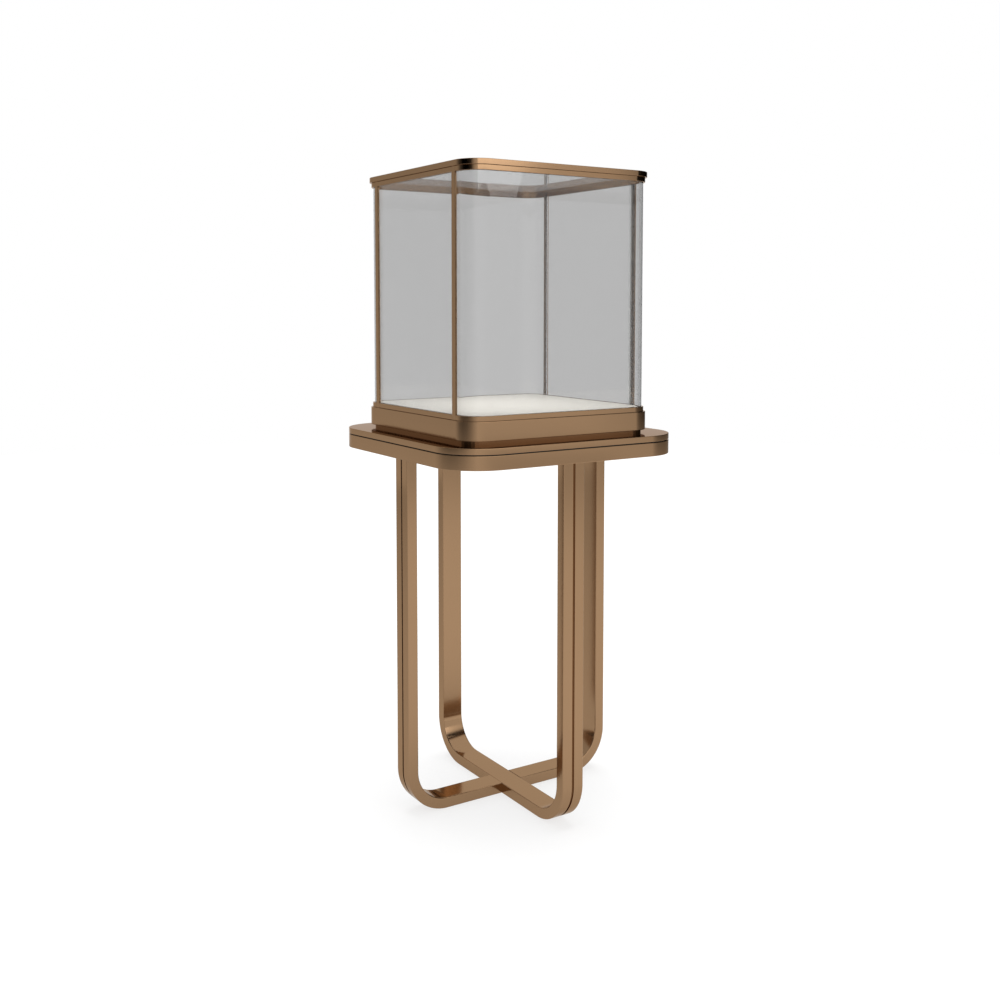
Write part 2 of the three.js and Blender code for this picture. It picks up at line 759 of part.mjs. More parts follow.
function buildDoor() {
  const low = doorRail(ledgeLevel + doorEndGap, false);
  addPiece('door_bottom_rail', cut(low.run, [
    ...low.tools, camSlot(ledgeLevel + doorEndGap, ledgeLevel + railFloor + fit),
  ]), bronze);
  const high = doorRail(upperRailLevel, true);
  addPiece('door_top_rail', cut(high.run, high.tools), bronze);
  addPiece('door_glass', sweep(
    sideRun(glassFace, 0, -doorHalf, doorHalf, 1), upward,
    paneSection(glassLow, glassHigh)), greyGlass);

  const washer = turnedPiece([
    [pinDiameter / 2 + fit, ledgeLevel], [pinFromFace - fit, ledgeLevel],
    [pinFromFace - fit, ledgeLevel + washerHeight],
    [pinDiameter / 2 + fit, ledgeLevel + washerHeight],
    [pinDiameter / 2 + fit, ledgeLevel],
  ], hingeX, hingeY);
  addPiece('door_washer', washer, steel);

  const pin = pinDiameter / 2;
  const [head, under] = [pinHead.diameter / 2, ledgeLevel - sheetWall];
  addPiece('door_pin_bottom', turnedPiece([
    [0, under - pinHead.height], [head, under - pinHead.height], [head, under], [pin, under],
    [pin, ledgeLevel + railFloor - fit], [0, ledgeLevel + railFloor - fit],
  ], hingeX, hingeY), steel);
  addPiece('door_pin_top', rod(
    pinDiameter, capLevel - railFloor + fit, capLevel + capFloor - 2 * fit, hingeX, hingeY),
  steel);

  const sealBack = hoodHalf - glassSetback - glassThickness - fit;
  addPiece('door_seal', block(
    sealBack - sealDepth, sealBack, -postInnerEnd - sealWidth / 2, -postInnerEnd + sealWidth / 2,
    deckTop + fit, upperRailLevel - fit), clearPlastic);
}

// ---------------------------------------------------------------- lock

function buildLock() {
  const flangeOut = caseHalf + lockFlange.height;
  const plugIn = camPlane;
  const bodyIn = camPlane + fit;
  const wallIn = caseHalf - sheetWall;
  const bore = rodAlongX(lockPlug + 2 * fit, bodyIn - 1, flangeOut + 1);
  const body = turnedPiece([
    [0, bodyIn], [lockBarrel / 2, bodyIn], [lockBarrel / 2, caseHalf],
    [lockFlange.diameter / 2, caseHalf], [lockFlange.diameter / 2, flangeOut - fit],
    [lockFlange.diameter / 2 - fit, flangeOut], [0, flangeOut],
  ], 0, 0, lockSteps);
  body.rotateY(Math.PI / 2);
  body.translate(0, lockY, lockZ);
  addPiece('lock_body', cut(body, [bore]), bronze);

  const nutRadius = lockNut.acrossFlats / 2 / Math.cos(Math.PI / 6);
  const nut = rodAlongX(nutRadius * 2, wallIn - lockNut.height, wallIn, 6);
  addPiece('lock_nut', cut(nut, [
    rodAlongX(lockBarrel + 2 * fit, wallIn - 2 * lockNut.height, wallIn + lockNut.height),
  ]), steel);

  const plug = rodAlongX(lockPlug, plugIn, flangeOut - fit);
  const slot = block(
    flangeOut - fit - keyway.depth, flangeOut + 1, lockY - keyway.height / 2,
    lockY + keyway.height / 2, lockZ - keyway.width / 2, lockZ + keyway.width / 2);
  const screwEnd = plugIn - camThickness + camScrew.length;
  const threaded = rodAlongX(camScrew.shank + 2 * fit, plugIn - 1, screwEnd + fit);
  addPiece('lock_plug', cut(plug, [slot, threaded]), steel);

  const cam = new THREE.Shape();
  const round = camWidth / 2;
  cam.absarc(0, 0, round + 1.5, Math.PI / 2, Math.PI * 3 / 2);
  cam.lineTo(camReach - round / 2, -round);
  cam.absarc(camReach - round / 2, -round / 2, round / 2, -Math.PI / 2, 0);
  cam.absarc(camReach - round / 2, round / 2, round / 2, 0, Math.PI / 2);
  const camHole = new THREE.Path();
  camHole.absarc(0, 0, camScrew.shank / 2 + fit, 0, Math.PI * 2, true);
  cam.holes.push(camHole);
  const camPiece = new THREE.ExtrudeGeometry(
    cam, { depth: camThickness, bevelEnabled: false, curveSegments: 6 });
  camPiece.rotateZ(Math.PI / 2);
  camPiece.rotateY(Math.PI / 2);
  camPiece.translate(plugIn - camThickness, lockY, lockZ);
  addPiece('lock_cam', closedTurn(camPiece), steel);

  const camFace = plugIn - camThickness;
  const [shank, head] = [camScrew.shank / 2, camScrew.head / 2];
  const camScrewPiece = turnedPiece([
    [0, camFace - camScrew.headHeight], [head, camFace - camScrew.headHeight],
    [head, camFace], [shank, camFace], [shank, screwEnd], [0, screwEnd],
  ], 0, 0);
  camScrewPiece.rotateY(Math.PI / 2);
  camScrewPiece.translate(0, lockY, lockZ);
  addPiece('lock_cam_screw', camScrewPiece, steel);
}

buildFrames();
buildTable(buildLegEnds());
buildBox();
buildRails();
buildPosts();
buildGlass();
buildCap();
buildDoor();
buildLock();

export default group;
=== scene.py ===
"""Pedestal display case: a glazed case on a square table with crossed U-frames.

Everything is in metres, with +Z up and the origin on the floor under the middle of the table.
"""

import math

import bpy
from mathutils import Matrix, Vector
from mathutils.geometry import tessellate_polygon


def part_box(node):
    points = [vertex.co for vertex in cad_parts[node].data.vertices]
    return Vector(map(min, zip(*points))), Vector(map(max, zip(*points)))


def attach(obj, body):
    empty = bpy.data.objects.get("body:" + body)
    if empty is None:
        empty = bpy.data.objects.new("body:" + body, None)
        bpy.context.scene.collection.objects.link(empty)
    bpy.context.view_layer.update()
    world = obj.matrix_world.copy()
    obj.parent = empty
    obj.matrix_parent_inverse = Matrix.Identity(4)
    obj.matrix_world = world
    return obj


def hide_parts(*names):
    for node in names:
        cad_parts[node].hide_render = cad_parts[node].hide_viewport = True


bl_info = {
    "name": "Pedestal display case",
    "version": (1, 0, 0),
    "blender": (4, 5, 0),
    "location": "View3D > Sidebar > Display case",
    "description": "Dresses the packed display case with its finished pieces and its stage",
    "category": "Object",
}

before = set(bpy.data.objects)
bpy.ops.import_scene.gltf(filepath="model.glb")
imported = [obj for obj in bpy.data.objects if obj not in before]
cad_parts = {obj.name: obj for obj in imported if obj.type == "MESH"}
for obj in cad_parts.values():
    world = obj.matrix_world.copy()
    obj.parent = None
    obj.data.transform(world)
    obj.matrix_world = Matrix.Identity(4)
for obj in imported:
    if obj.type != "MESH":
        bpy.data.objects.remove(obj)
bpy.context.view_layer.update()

STAND, DOOR = "stand", "door"
X, Y, Z = Vector((1, 0, 0)), Vector((0, 1, 0)), Vector((0, 0, 1))
MM = 0.001

RAIL_FACE = 4 * MM  # from a rail's outer face to its pane
RAIL_SLOT = 6 * MM  # depth of the slot that the pane stands in
LOCK_BARREL = 8 * MM  # radius of the lock's barrel
CAM_HALF = 5 * MM  # half the width of the lock's cam
BEND_STEPS, CORNER_STEPS, EDGE_STEPS = 32, 24, 3
HOLE_STEPS, TURNED_STEPS = 32, 64


def low(node):
    """The lowest corner of a solid's box."""
    return Vector(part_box(node)[0])


def high(node):
    """The highest corner of a solid's box."""
    return Vector(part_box(node)[1])


def span(node):
    return high(node) - low(node)


# ------------------------------------------------------------------ colours and node trees

def linear(code):
    """An sRGB hex colour as linear red, green and blue."""
    parts = [int(code[i:i + 2], 16) / 255 for i in (1, 3, 5)]
    return [c / 12.92 if c <= 0.04045 else ((c + 0.055) / 1.055) ** 2.4 for c in parts]


def add_node(tree, kind, settings=None, **inputs):
    """Adds a node. Settings are its own values, and the stops of a ramp are pairs of place and
    grey. Inputs are socket values or sockets to link."""
    node = tree.nodes.new(kind)
    for name, value in (settings or {}).items():
        if name == "stops":
            ends = node.color_ramp.elements
            for number, (place, grey) in enumerate(value):
                end = ends[number] if number < 2 else ends.new(1)
                end.position = place
                end.color = (grey, grey, grey, 1)
        else:
            setattr(node, name, value)
    for name, value in inputs.items():
        key = int(name[1:]) if name[0] == "_" else name.replace("_", " ")
        socket = node.inputs[key]
        if isinstance(value, bpy.types.NodeSocket):
            tree.links.new(value, socket)
        elif socket.type == "RGBA" and len(value) == 3:
            socket.default_value = (*value, 1)
        else:
            socket.default_value = value
    return node


def new_material(name):
    material = bpy.data.materials.new(name)
    material.use_nodes = True
    tree = material.node_tree
    tree.nodes.clear()
    return material, tree, add_node(tree, "ShaderNodeOutputMaterial")


def coated_steel(name, grain, colour, rough):
    """Stainless steel with a bronze-coloured vacuum coating, satin ground before coating. The
    grinding leaves hairlines 0.3 mm apart. They are drawn 0.9 mm apart, since finer ones would
    vanish at this distance. The eye gets a faint streak along the grain, and reflections that
    are soft but still show where the light ends."""
    material, tree, output = new_material(name)
    source = add_node(tree, "ShaderNodeTexCoord")
    line, length = 1 / (0.9 * MM), 1 / (400 * MM)
    if grain == "path":
        coordinates, scale = source.outputs["UV"], (length, line, line)
    elif grain == "level":
        coordinates, scale = source.outputs["Object"], (length, length, line)
    else:
        coordinates, scale = source.outputs["Object"], (line, line, length)
    mapped = add_node(tree, "ShaderNodeMapping", Vector=coordinates, Scale=scale)
    hairline = add_node(tree, "ShaderNodeTexNoise", Vector=mapped.outputs[0], Scale=1.0,
                        Detail=3.0, Roughness=0.6)
    drift = add_node(tree, "ShaderNodeTexNoise", Vector=source.outputs["Object"],
                     Scale=1 / (160 * MM), Detail=1.0)
    tint = add_node(tree, "ShaderNodeMix", {"data_type": "RGBA"}, _0=drift.outputs[0],
                    _6=[c * 0.94 for c in colour], _7=colour)
    roughness = add_node(tree, "ShaderNodeMapRange", Value=hairline.outputs[0],
                         To_Min=rough - 0.02, To_Max=rough + 0.02)
    bump = add_node(tree, "ShaderNodeBump", Height=hairline.outputs[0], Strength=0.015,
                    Distance=0.02 * MM)
    # The tint holds the coating's colour where the eye meets it at a slant.
    shader = add_node(
        tree, "ShaderNodeBsdfPrincipled", Metallic=1.0, Specular_Tint=linear("#E2D7CC"),
        Base_Color=tint.outputs[2], Roughness=roughness.outputs[0], Normal=bump.outputs[0])
    tree.links.new(shader.outputs[0], output.inputs[0])
    return material


def polished_steel(name, colour, rough):
    """The same coated steel, buffed to a mirror. Only faint wipe marks 60 mm wide are left. The
    coating keeps its brown even at a grazing angle, where bare steel would turn white."""
    material, tree, output = new_material(name)
    source = add_node(tree, "ShaderNodeTexCoord")
    wipe = add_node(tree, "ShaderNodeTexNoise", Vector=source.outputs["Object"],
                    Scale=1 / (60 * MM), Detail=4.0, Roughness=0.6, Distortion=0.8)
    roughness = add_node(tree, "ShaderNodeMapRange", Value=wipe.outputs[0], To_Min=rough * 0.7,
                         To_Max=rough * 1.4)
    shader = add_node(tree, "ShaderNodeBsdfPrincipled", Metallic=1.0, Base_Color=colour,
                      Specular_Tint=linear("#BA9F84"), Roughness=roughness.outputs[0])
    tree.links.new(shader.outputs[0], output.inputs[0])
    return material


def float_glass(name, colour, density):
    """Float glass tinted grey all through, so it darkens where the eye looks along it, as in the
    bends. Its faces have a wave some 150 mm long that bends reflections a little. It lets the
    lamps through to the deck."""
    material, tree, output = new_material(name)
    source = add_node(tree, "ShaderNodeTexCoord")
    wave = add_node(tree, "ShaderNodeTexNoise", Vector=source.outputs["Object"],
                    Scale=1 / (150 * MM), Detail=0.0)
    bump = add_node(tree, "ShaderNodeBump", Height=wave.outputs[0], Strength=0.02,
                    Distance=1 * MM)
    glass = add_node(
        tree, "ShaderNodeBsdfPrincipled", Base_Color=(1, 1, 1), Roughness=0.0, IOR=1.52,
        Transmission_Weight=1.0, Normal=bump.outputs[0])
    clear = add_node(tree, "ShaderNodeBsdfTransparent", Color=(1, 1, 1))
    body = add_node(tree, "ShaderNodeVolumeAbsorption", Color=colour, Density=density)
    tree.links.new(body.outputs[0], output.inputs["Volume"])
    path = add_node(tree, "ShaderNodeLightPath")
    mix = add_node(tree, "ShaderNodeMixShader", _0=path.outputs["Is Shadow Ray"],
                   _1=glass.outputs[0], _2=clear.outputs[0])
    tree.links.new(mix.outputs[0], output.inputs[0])
    return material


def lacquered_board(name, colour, rough):
    """Fibreboard sprayed with lacquer: an even colour whose surface has a faint orange peel,
    2 mm across."""
    material, tree, output = new_material(name)
    source = add_node(tree, "ShaderNodeTexCoord")
    skin = add_node(tree, "ShaderNodeTexNoise", Vector=source.outputs["Object"],
                    Scale=1 / (2 * MM), Detail=2.0)
    cloud = add_node(tree, "ShaderNodeTexNoise", Vector=source.outputs["Object"],
                     Scale=1 / (120 * MM), Detail=2.0)
    bump = add_node(tree, "ShaderNodeBump", Height=skin.outputs[0], Strength=0.12,
                    Distance=0.1 * MM)
    tint = add_node(tree, "ShaderNodeMix", {"data_type": "RGBA"}, _0=cloud.outputs[0],
                    _6=[c * 0.96 for c in colour], _7=colour)
    shader = add_node(tree, "ShaderNodeBsdfPrincipled", Roughness=rough, IOR=1.5,
                      Base_Color=tint.outputs[2], Normal=bump.outputs[0])
    tree.links.new(shader.outputs[0], output.inputs[0])
    return material


def raw_fibreboard(name, colour):
    """Pressed wood fibre as it comes from the press: matt, with flecks about 1.5 mm long."""
    material, tree, output = new_material(name)
    source = add_node(tree, "ShaderNodeTexCoord")
    fleck = add_node(tree, "ShaderNodeTexNoise", Vector=source.outputs["Object"],
                     Scale=1 / (1.5 * MM), Detail=4.0, Roughness=0.8)
    tint = add_node(tree, "ShaderNodeMix", {"data_type": "RGBA"}, _0=fleck.outputs[0],
                    _6=[c * 0.6 for c in colour], _7=colour)
    bump = add_node(tree, "ShaderNodeBump", Height=fleck.outputs[0], Strength=0.3,
                    Distance=0.1 * MM)
    shader = add_node(tree, "ShaderNodeBsdfPrincipled", Roughness=0.85, IOR=1.45,
                      Base_Color=tint.outputs[2], Normal=bump.outputs[0])
    tree.links.new(shader.outputs[0], output.inputs[0])
    return material


def moulded_rubber(name, colour):
    """Moulded rubber: near black and matt, with the mould's 0.8 mm stipple."""
    material, tree, output = new_material(name)
    source = add_node(tree, "ShaderNodeTexCoord")
    stipple = add_node(tree, "ShaderNodeTexVoronoi", Vector=source.outputs["Object"],
                       Scale=1 / (0.8 * MM))
    bump = add_node(tree, "ShaderNodeBump", Height=stipple.outputs[0], Strength=0.3,
                    Distance=0.1 * MM)
    shader = add_node(tree, "ShaderNodeBsdfPrincipled", Base_Color=colour,
                      Roughness=0.75, IOR=1.52, Normal=bump.outputs[0])
    tree.links.new(shader.outputs[0], output.inputs[0])
    return material


def extruded_vinyl(name, colour):
    """Clear soft vinyl, extruded: a thin film that shows mostly what is behind it, with draw lines
    along its length, 1.2 mm apart, that break up its gloss."""
    material, tree, output = new_material(name)
    source = add_node(tree, "ShaderNodeTexCoord")
    mapped = add_node(tree, "ShaderNodeMapping", Vector=source.outputs["Object"],
                      Scale=(1 / (1.2 * MM), 1 / (1.2 * MM), 1 / (300 * MM)))
    draw = add_node(tree, "ShaderNodeTexNoise", Vector=mapped.outputs[0], Scale=1.0, Detail=1.0)
    roughness = add_node(tree, "ShaderNodeMapRange", Value=draw.outputs[0], To_Min=0.1,
                         To_Max=0.3)
    shader = add_node(tree, "ShaderNodeBsdfPrincipled", Base_Color=colour, IOR=1.53,
                      Alpha=0.25, Roughness=roughness.outputs[0])
    tree.links.new(shader.outputs[0], output.inputs[0])
    return material


def zinc_plate(name, colour):
    """Turned steel with a zinc plate: cool grey, with a spangle about 3 mm across."""
    material, tree, output = new_material(name)
    source = add_node(tree, "ShaderNodeTexCoord")
    spangle = add_node(tree, "ShaderNodeTexVoronoi", Vector=source.outputs["Object"],
                       Scale=1 / (3 * MM))
    tint = add_node(tree, "ShaderNodeMix", {"data_type": "RGBA"}, _0=spangle.outputs[0],
                    _6=[c * 0.85 for c in colour], _7=colour)
    roughness = add_node(tree, "ShaderNodeMapRange", Value=spangle.outputs[0], To_Min=0.25,
                         To_Max=0.45)
    shader = add_node(tree, "ShaderNodeBsdfPrincipled", Metallic=1.0,
                      Base_Color=tint.outputs[2], Roughness=roughness.outputs[0])
    tree.links.new(shader.outputs[0], output.inputs[0])
    return material


MATERIALS = {}


def finish_named(key):
    """The material of that finish, made from the colours in the scene's settings."""
    if key not in MATERIALS:
        look = bpy.context.scene.case_finishes
        makers = {
            "frame": lambda: coated_steel(
                "coated_steel_satin_along_bar", "path", look.bronze, look.satin),
            "level": lambda: coated_steel(
                "coated_steel_satin_level", "level", look.bronze, look.satin),
            "upright": lambda: coated_steel(
                "coated_steel_satin_upright", "upright", look.bronze, look.satin),
            "mirror": lambda: polished_steel(
                "coated_steel_buffed", look.bronze, look.mirror),
            "glass": lambda: float_glass("float_glass_grey", look.glass, look.density),
            "light_glass": lambda: float_glass(
                "float_glass_light_grey", look.glass, look.density * 0.5),
            "white": lambda: lacquered_board("board_white_lacquer", look.deck, 0.45),
            "black": lambda: lacquered_board("board_black_lacquer", look.recess, 0.6),
            "board": lambda: raw_fibreboard("fibreboard_raw", linear("#8F7454")),
            "rubber": lambda: moulded_rubber("rubber_moulded", linear("#222222")),
            "vinyl": lambda: extruded_vinyl("vinyl_extruded_clear", linear("#F2F4F4")),
            "zinc": lambda: zinc_plate("steel_zinc_plated", linear("#A9A9A6")),
        }
        MATERIALS[key] = makers[key]()
    return MATERIALS[key]


# ------------------------------------------------------------------ meshes

def eased(points, radii):
    """The outline with each corner rounded to its own radius."""
    outline = []
    for i, (corner, radius) in enumerate(zip(points, radii)):
        here = Vector(corner)
        if radius <= 0:
            outline.append(here)
            continue
        before = (Vector(points[i - 1]) - here).normalized()
        after = (Vector(points[(i + 1) % len(points)]) - here).normalized()
        half = before.angle(after) / 2
        cut = radius / math.tan(half)
        centre = here + (before + after).normalized() * (radius / math.sin(half))
        start, end = here + before * cut - centre, here + after * cut - centre
        turn = start.angle_signed(end)
        outline += [centre + Matrix.Rotation(-turn * k / EDGE_STEPS, 2) @ start
                    for k in range(EDGE_STEPS + 1)]
    return outline


def arc(centre, u, v, radius, start, end, steps):
    """Stations round an arc: each is a point and the outward direction there."""
    stations = []
    for i in range(steps + 1):
        angle = math.radians(start + (end - start) * i / steps)
        out = u * math.cos(angle) + v * math.sin(angle)
        stations.append((centre + out * radius, out))
    return stations


def corner_arc(half, corner, start):
    """Stations round one corner of a rounded square, whose arc starts at that many degrees."""
    middle = math.radians(start + 45)
    reach = half - corner
    centre = Vector((math.copysign(reach, math.cos(middle)),
                     math.copysign(reach, math.sin(middle)), 0))
    return arc(centre, X, Y, corner, start, start + 90, CORNER_STEPS)


def ring(half, corner):
    """Stations all round a rounded square."""
    return [s for start in (0, 90, 180, 270) for s in corner_arc(half, corner, start)]


def half_ring(half, corner, end, left, right):
    """The front (-1) or rear (1) half of a ring. Its legs stop at left and right from the
    middle."""
    first = 180 if end < 0 else 0
    legs = [(Vector((side * half, end * gap, 0)), X * side)
            for side, gap in ((-1, left), (1, right))]
    start, last = legs if end < 0 else reversed(legs)
    return ([start] + corner_arc(half, corner, first) + corner_arc(half, corner, first + 90)
            + [last])


def straight(start, end, out):
    return [(Vector(start), Vector(out)), (Vector(end), Vector(out))]


def piece_from(name, vertices, faces, uvs):
    """An object of that mesh, with its faces turned outward."""
    mesh = bpy.data.meshes.new(name)
    mesh.from_pydata(vertices, [], faces)
    layer = mesh.uv_layers.new(name="along")
    layer.data.foreach_set("uv", [value for face in uvs for uv in face for value in uv])
    mesh.validate()
    if signed_volume(vertices, faces) < 0:
        mesh.flip_normals()
    piece = bpy.data.objects.new(name, mesh)
    bpy.context.scene.collection.objects.link(piece)
    return shaded(piece)


def shaded(piece):
    """The piece shaded smooth, except where its faces meet at more than 35 degrees."""
    piece.data.shade_smooth()
    piece.data.set_sharp_from_angle(angle=math.radians(35))
    weighted = piece.modifiers.new("even_faces", "WEIGHTED_NORMAL")
    weighted.keep_sharp = True
    return piece


def pierced(piece, *cutters):
    """The piece with the cutters' shapes taken out. The cutters themselves are removed."""
    piece.modifiers.clear()
    for cutter in cutters:
        piece.modifiers.new("opening", "BOOLEAN").object = cutter
    whole = piece.data
    graph = bpy.context.evaluated_depsgraph_get()
    piece.data = bpy.data.meshes.new_from_object(piece.evaluated_get(graph))
    piece.modifiers.clear()
    bpy.data.meshes.remove(whole)
    piece.data.name = piece.name
    for cutter in cutters:
        bpy.data.objects.remove(cutter)
    return shaded(piece)


def signed_volume(vertices, faces):
    """Six times the volume, below zero where the faces are turned inward."""
    return sum(vertices[face[0]].dot(vertices[b].cross(vertices[c]))
               for face in faces for b, c in zip(face[1:], face[2:]))


def sweep(name, stations, side, section, bore=None, closed=False):
    """A bar along stations. Section points are (outward, along side), and bore is its hollow.
    Its UVs are metres along the bar and round the section."""
    loops = [section] + ([bore[::-1]] if bore else [])
    flat = [point for loop in loops for point in loop]
    vertices = [at + out * p[0] + side * p[1] for at, out in stations for p in flat]
    faces, uvs = [], []
    count, u0 = len(stations), 0
    for i in range(count if closed else count - 1):
        here, there = i * len(flat), (i + 1) % count * len(flat)
        u1 = u0 + (stations[(i + 1) % count][0] - stations[i][0]).length
        offset, around = 0, 0
        for loop in loops:
            for k, point in enumerate(loop):
                a, b = offset + k, offset + (k + 1) % len(loop)
                next_around = around + (Vector(flat[b]) - Vector(point)).length
                faces.append((here + a, here + b, there + b, there + a))
                uvs.append(((u0, around), (u0, next_around), (u1, next_around), (u1, around)))
                around = next_around
            offset += len(loop)
        u0 = u1
    if not closed:
        outlines = [[Vector((*point, 0)) for point in loop] for loop in loops]
        last = (count - 1) * len(flat)
        for face in tessellate_polygon(outlines):
            if anticlockwise([flat[i] for i in face]) != anticlockwise(section):
                face = face[::-1]
            faces += [face[::-1], [last + i for i in face]]
            uvs += [[tuple(flat[i]) for i in end] for end in (face[::-1], face)]
    return piece_from(name, vertices, faces, uvs)


def anticlockwise(outline):
    return sum(outline[i - 1][0] * p[1] - p[0] * outline[i - 1][1]
               for i, p in enumerate(outline)) > 0


def lidded(name, half, corner, profile):
    """A level piece with a rounded-square outline. Profile points are (outward, height), and
    its first and last points are closed with flat lids."""
    stations = ring(half, corner)
    vertices = [at + out * p[0] + Z * p[1] for at, out in stations for p in profile]
    rows, count = len(profile), len(stations)
    faces = []
    for i in range(count):
        here, there = i * rows, (i + 1) % count * rows
        faces += [(here + k, there + k, there + k + 1, here + k + 1) for k in range(rows - 1)]
    faces.append([i * rows for i in reversed(range(count))])
    faces.append([i * rows + rows - 1 for i in range(count)])
    uvs = [[tuple(vertices[v].xy) for v in face] for face in faces]
    return piece_from(name, vertices, faces, uvs)


def slab(name, half, corner, bottom, top, ease):
    """A flat board or pane with a rounded-square outline and eased edges."""
    outline = eased([(-half, bottom), (0, bottom), (0, top), (-half, top)], [0, ease, ease, 0])
    return lidded(name, half, corner, outline[1:-1])


def turned(name, outline, origin, axis):
    """A turned piece. Outline points are (radius, along the axis) and close on themselves."""
    across = axis.orthogonal().normalized()
    stations = arc(Vector(origin), across, axis.cross(across), 0, 0, 360, TURNED_STEPS)[:-1]
    return sweep(name, stations, axis, outline, closed=True)


def rod(radius, start, end, axis):
    """A cutter for a round hole."""
    out = axis.orthogonal().normalized()
    circle = [at.xy for at, _ in arc(Vector(), X, Y, radius, 0, 360, HOLE_STEPS)[:-1]]
    return sweep("cutter", straight(start, end, out), axis.cross(out), circle)


def block(first, last):
    """A cutter for a square-cornered slot, from its lowest to its highest corner."""
    (left, front, bottom), (right, rear, top) = first, last
    outline = [(left, front), (right, front), (right, rear), (left, rear)]
    return sweep("cutter", straight((0, 0, bottom), (0, 0, top), X), Y, outline)


def hinge_hole(size, bottom, top):
    """A cutter for the hole that a door pin turns in."""
    pin = (low("door_pin_top") + high("door_pin_top")) / 2
    return rod(span("door_pin_top").x / 2 + size.fit, (pin.x, pin.y, bottom),
               (pin.x, pin.y, top), Z)


def lock_axis():
    """How far across and how high the lock's axis meets the box."""
    middle = (low("lock_body") + high("lock_body")) / 2
    return middle.y, middle.z


def dress(piece, nodes, body, finish):
    """Gives the piece its finish, its body and the solids that it stands for."""
    piece.data.materials.append(finish_named(finish))
    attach(piece, body)
    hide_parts(*nodes)
    return piece


def coat(finish, *nodes):
    """Gives solids that stay in view their finish."""
    for node in nodes:
        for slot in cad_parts[node].material_slots:
            slot.link = "OBJECT"
            slot.material = finish_named(finish)


# ------------------------------------------------------------------ sizes and finishes

class CaseSizes(bpy.types.PropertyGroup):
    """Sizes that the solids don't state by their own boxes."""

    frame_bend: bpy.props.FloatProperty(
        name="Frame bend", description="Outer radius of the frames' bends", unit="LENGTH",
        default=0.092)
    frame_depth: bpy.props.FloatProperty(
        name="Frame depth", description="Thickness of a frame's bar", unit="LENGTH",
        default=0.023)
    frame_wall: bpy.props.FloatProperty(
        name="Frame wall", description="Sheet thickness of the frames", unit="LENGTH",
        default=0.002)
    groove_width: bpy.props.FloatProperty(
        name="Groove width", description="Width of the shadow groove", unit="LENGTH",
        default=0.005)
    groove_depth: bpy.props.FloatProperty(
        name="Groove depth", description="Depth of the shadow groove", unit="LENGTH",
        default=0.004)
    table_corner: bpy.props.FloatProperty(
        name="Table corner", description="Corner radius of the table", unit="LENGTH",
        default=0.095)
    sheet: bpy.props.FloatProperty(
        name="Sheet", description="Thickness of the folded sheets", unit="LENGTH",
        default=0.002)
    case_corner: bpy.props.FloatProperty(
        name="Case corner", description="Corner radius of the box and cap", unit="LENGTH",
        default=0.052)
    hood_setback: bpy.props.FloatProperty(
        name="Hood setback", description="Step from the box's face to the rails",
        unit="LENGTH", default=0.004)
    glass: bpy.props.FloatProperty(
        name="Glass", description="Thickness of the panes", unit="LENGTH", default=0.005)
    joint: bpy.props.FloatProperty(
        name="Joint", description="Gap between two panes under a post", unit="LENGTH",
        default=0.001)
    rail_depth: bpy.props.FloatProperty(
        name="Rail depth", description="Depth of a glazing rail", unit="LENGTH",
        default=0.012)
    fit: bpy.props.FloatProperty(
        name="Fit", description="Clearance round a pane in its channel", unit="LENGTH",
        default=0.0003)


class CaseFinishes(bpy.types.PropertyGroup):
    """Colours, and how rough the metal is."""

    bronze: bpy.props.FloatVectorProperty(
        name="Bronze", description="Colour of the coated steel", subtype="COLOR", min=0, max=1,
        default=linear("#9C7D5F"))
    glass: bpy.props.FloatVectorProperty(
        name="Glass tint", description="Colour that the glass takes on in depth",
        subtype="COLOR", min=0, max=1, default=linear("#2A2A2C"))
    density: bpy.props.FloatProperty(
        name="Glass density", description="How strongly the tint absorbs light, per metre",
        default=70.0, min=0)
    deck: bpy.props.FloatVectorProperty(
        name="Deck", description="Colour of the deck board", subtype="COLOR", min=0, max=1,
        default=linear("#F4F0E6"))
    recess: bpy.props.FloatVectorProperty(
        name="Recess", description="Colour of the black boards", subtype="COLOR", min=0, max=1,
        default=linear("#1B1A19"))
    satin: bpy.props.FloatProperty(
        name="Satin", description="Roughness of the satin metal", default=0.13, min=0.05,
        max=1, subtype="FACTOR")
    mirror: bpy.props.FloatProperty(
        name="Mirror", description="Roughness of the buffed metal", default=0.06, min=0.01,
        max=1, subtype="FACTOR")


# ------------------------------------------------------------------ operators

